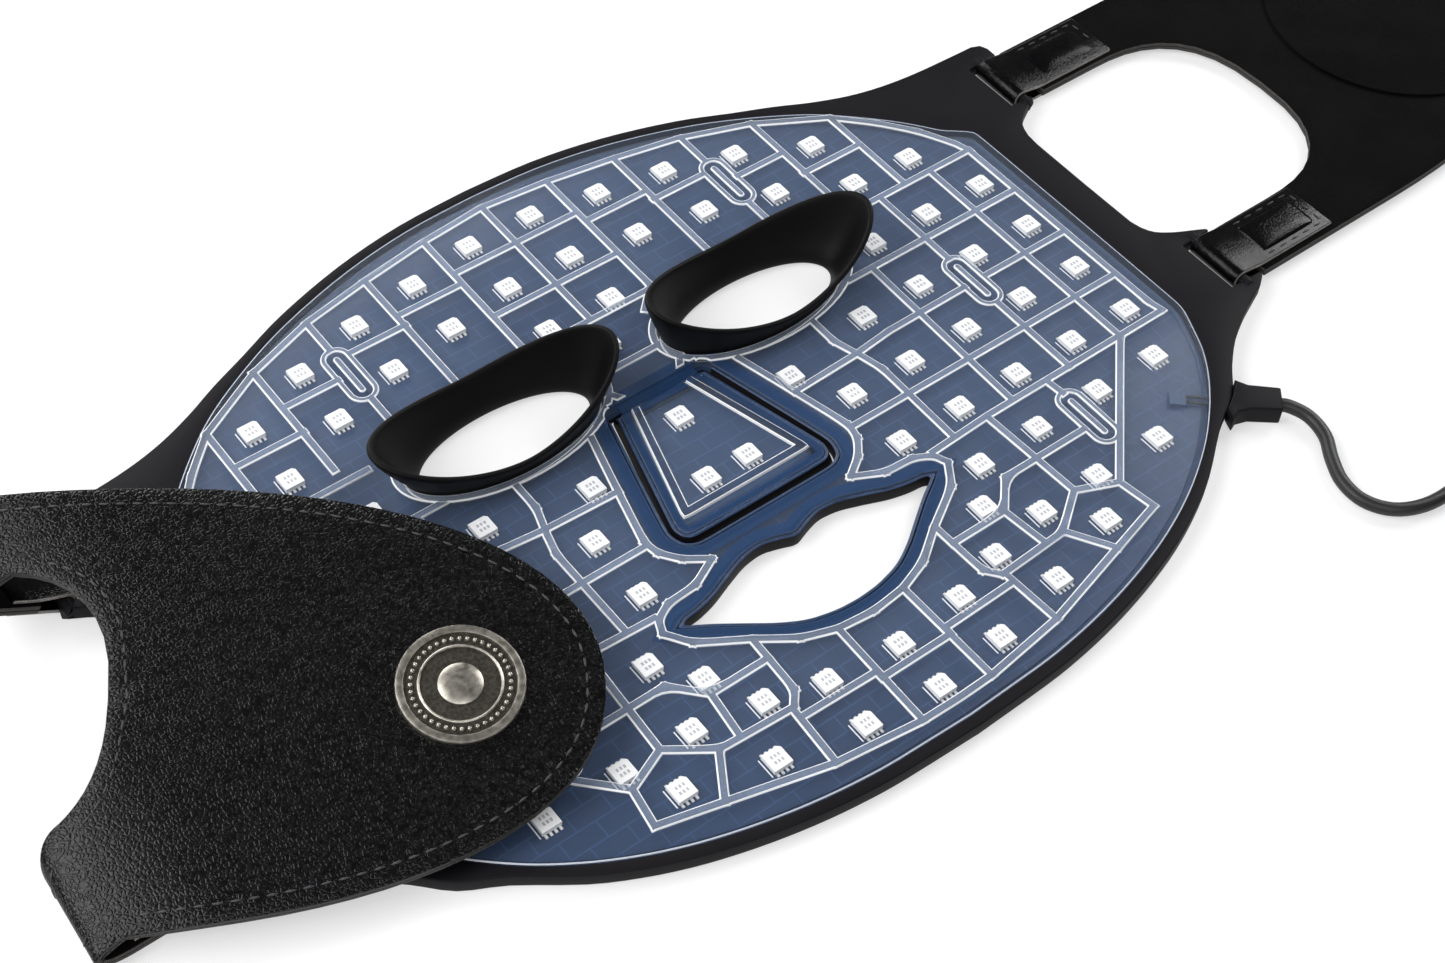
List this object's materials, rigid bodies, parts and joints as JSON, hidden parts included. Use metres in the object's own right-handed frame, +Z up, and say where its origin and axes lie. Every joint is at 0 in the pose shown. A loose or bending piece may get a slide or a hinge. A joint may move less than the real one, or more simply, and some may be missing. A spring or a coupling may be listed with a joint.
{
  "type": "led face mask",
  "caption": "Flexible face mask with lamps under a clear ribbed panel, raised eye cups, a nose flap, two leather straps on bars and a power lead.",
  "frame": {"origin": "on the flat underside of the mask at the bridge of the nose, on the mirror line between the eye openings", "axes": "+X across the face towards the side that the lead leaves, +Y towards the forehead, +Z up out of the lamp side"},
  "size_m": [0.4878, 0.2678, 0.0261],
  "materials": {
    "black_silicone": "matte",
    "soft_black_silicone": "matte",
    "navy_flex": "satin",
    "white_lamp": "satin",
    "tinned_legs": "satin",
    "clear_silicone": "gloss",
    "tab_leather": "gloss",
    "strap_leather": "satin",
    "velvet": "matte",
    "antique_metal": "satin",
    "cord_sleeve": "satin",
    "tie_band": "matte",
    "terminal_board": "satin",
    "copper_wire": "satin",
    "plug_metal": "satin"
  },
  "bodies": {
    "mask": {"back_shell": "black_silicone", "flex_circuit": "navy_flex", "lamps_forehead": "white_lamp", "lamps_left_cheek": "white_lamp", "lamps_right_cheek": "white_lamp", "lamps_chin": "white_lamp", "lamp_legs": "tinned_legs", "front_panel": "clear_silicone", "panel_ribs": "clear_silicone", "eye_cup_left": "soft_black_silicone", "eye_cup_right": "soft_black_silicone", "lead_boot": "black_silicone", "lead_terminal": "terminal_board", "lead_wires": "copper_wire", "lead_cord": "cord_sleeve", "lead_coil": "cord_sleeve", "lead_tie": "tie_band", "plug_body": "cord_sleeve", "plug_shell": "plug_metal", "plug_tongue": "terminal_board"},
    "nose_flap": {"nose_flap_shell": "black_silicone", "nose_flap_circuit": "navy_flex", "nose_flap_lamps": "white_lamp", "nose_flap_legs": "tinned_legs", "nose_flap_panel": "clear_silicone"},
    "right_strap": {"right_tab_upper": "tab_leather", "right_tab_lower": "tab_leather", "right_strap_leather": "strap_leather", "right_strap_lining": "velvet", "right_strap_patch": "velvet"},
    "left_legs": {"left_tab_upper": "tab_leather", "left_tab_lower": "tab_leather", "left_legs_leather": "strap_leather", "left_legs_lining": "velvet", "left_bend_leather": "strap_leather", "left_bend_lining": "velvet"},
    "left_flap": {"left_flap_leather": "strap_leather", "left_flap_lining": "velvet", "badge_disc": "antique_metal", "badge_boss": "antique_metal", "badge_washer": "antique_metal"}
  },
  "joints": [
    {"name": "nose_flap_bend", "type": "hinge", "parent": "mask", "child": "nose_flap", "pos_m": [0, -0.01145, 0.0008], "axis": [-1, 0, 0], "range_deg": [-15, 20], "stiffness_Nm_per_rad": 0.05},
    {"name": "right_strap_swing", "type": "hinge", "parent": "mask", "child": "right_strap", "pos_m": [0.144, -0.0185, 0.0029], "axis": [0, -1, 0], "range_deg": [0, 110]},
    {"name": "left_strap_swing", "type": "hinge", "parent": "mask", "child": "left_legs", "pos_m": [-0.144, -0.0185, 0.0029], "axis": [0, -1, 0], "range_deg": [0, 25]},
    {"name": "left_strap_fold", "type": "hinge", "parent": "left_legs", "child": "left_flap", "pos_m": [-0.1645, -0.0165, 0.012], "axis": [-0.177, -0.9797, -0.094], "range_deg": [0, 110], "deforming": ["left_bend_leather", "left_bend_lining"]}
  ]
}
